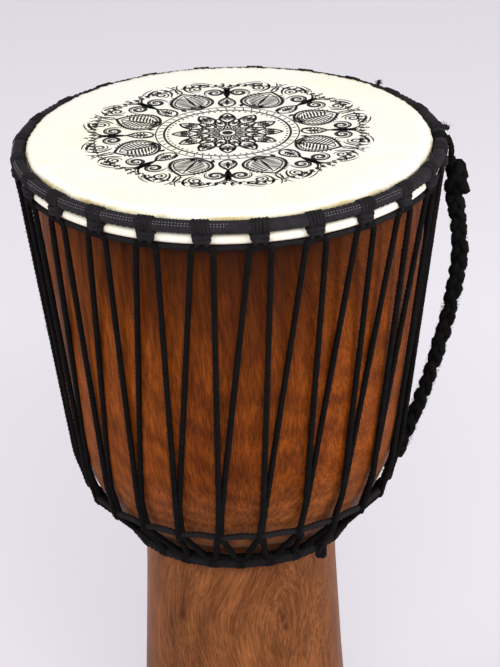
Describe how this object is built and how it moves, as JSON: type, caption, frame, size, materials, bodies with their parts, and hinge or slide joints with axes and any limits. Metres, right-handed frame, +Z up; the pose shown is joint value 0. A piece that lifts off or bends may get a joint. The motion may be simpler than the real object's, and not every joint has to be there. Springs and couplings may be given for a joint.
{
  "type": "djembe",
  "caption": "Rope-tuned goblet hand drum: carved wooden shell, goatskin head held by rope-laced steel rings, braided carrying strap.",
  "frame": {"origin": "centre of the foot's rim, on the surface that the drum stands on", "axes": "+Z up along the shell's axis, -Y towards the front, +X towards the carrying strap"},
  "size_m": [0.3468, 0.3326, 0.6],
  "materials": {
    "wood": "satin varnished mahogany",
    "hide": "scraped goatskin, matte",
    "steel": "plain round bar, hidden in its cover",
    "braid_cover": "black braided sleeve with a fine pale fleck",
    "rope": "black laid cord",
    "strap_braid": "thick black braid"
  },
  "bodies": {
    "drum": {"shell": "wood", "drumhead_skin": "hide", "flesh_hoop": "steel", "crown_ring": "steel", "crown_ring_cover": "braid_cover", "top_cradle_rope": "rope", "tension_rope": "rope", "weave_rope": "rope", "lower_ring": "steel", "lower_ring_cover": "braid_cover", "lower_cradle_rope": "rope", "tail_knot": "rope", "strap_top_tie": "rope", "strap_lower_tie": "rope"},
    "carrying_strap": {"strap": "strap_braid", "strap_top_knot": "strap_braid", "strap_lower_knot": "strap_braid"}
  },
  "joints": [
    {"name": "strap_swing", "type": "hinge", "parent": "drum", "child": "carrying_strap", "pos_m": [0.168, 0, 0.58], "axis": [0.1647, 0, 0.9864], "range_deg": [-45, 52]}
  ]
}
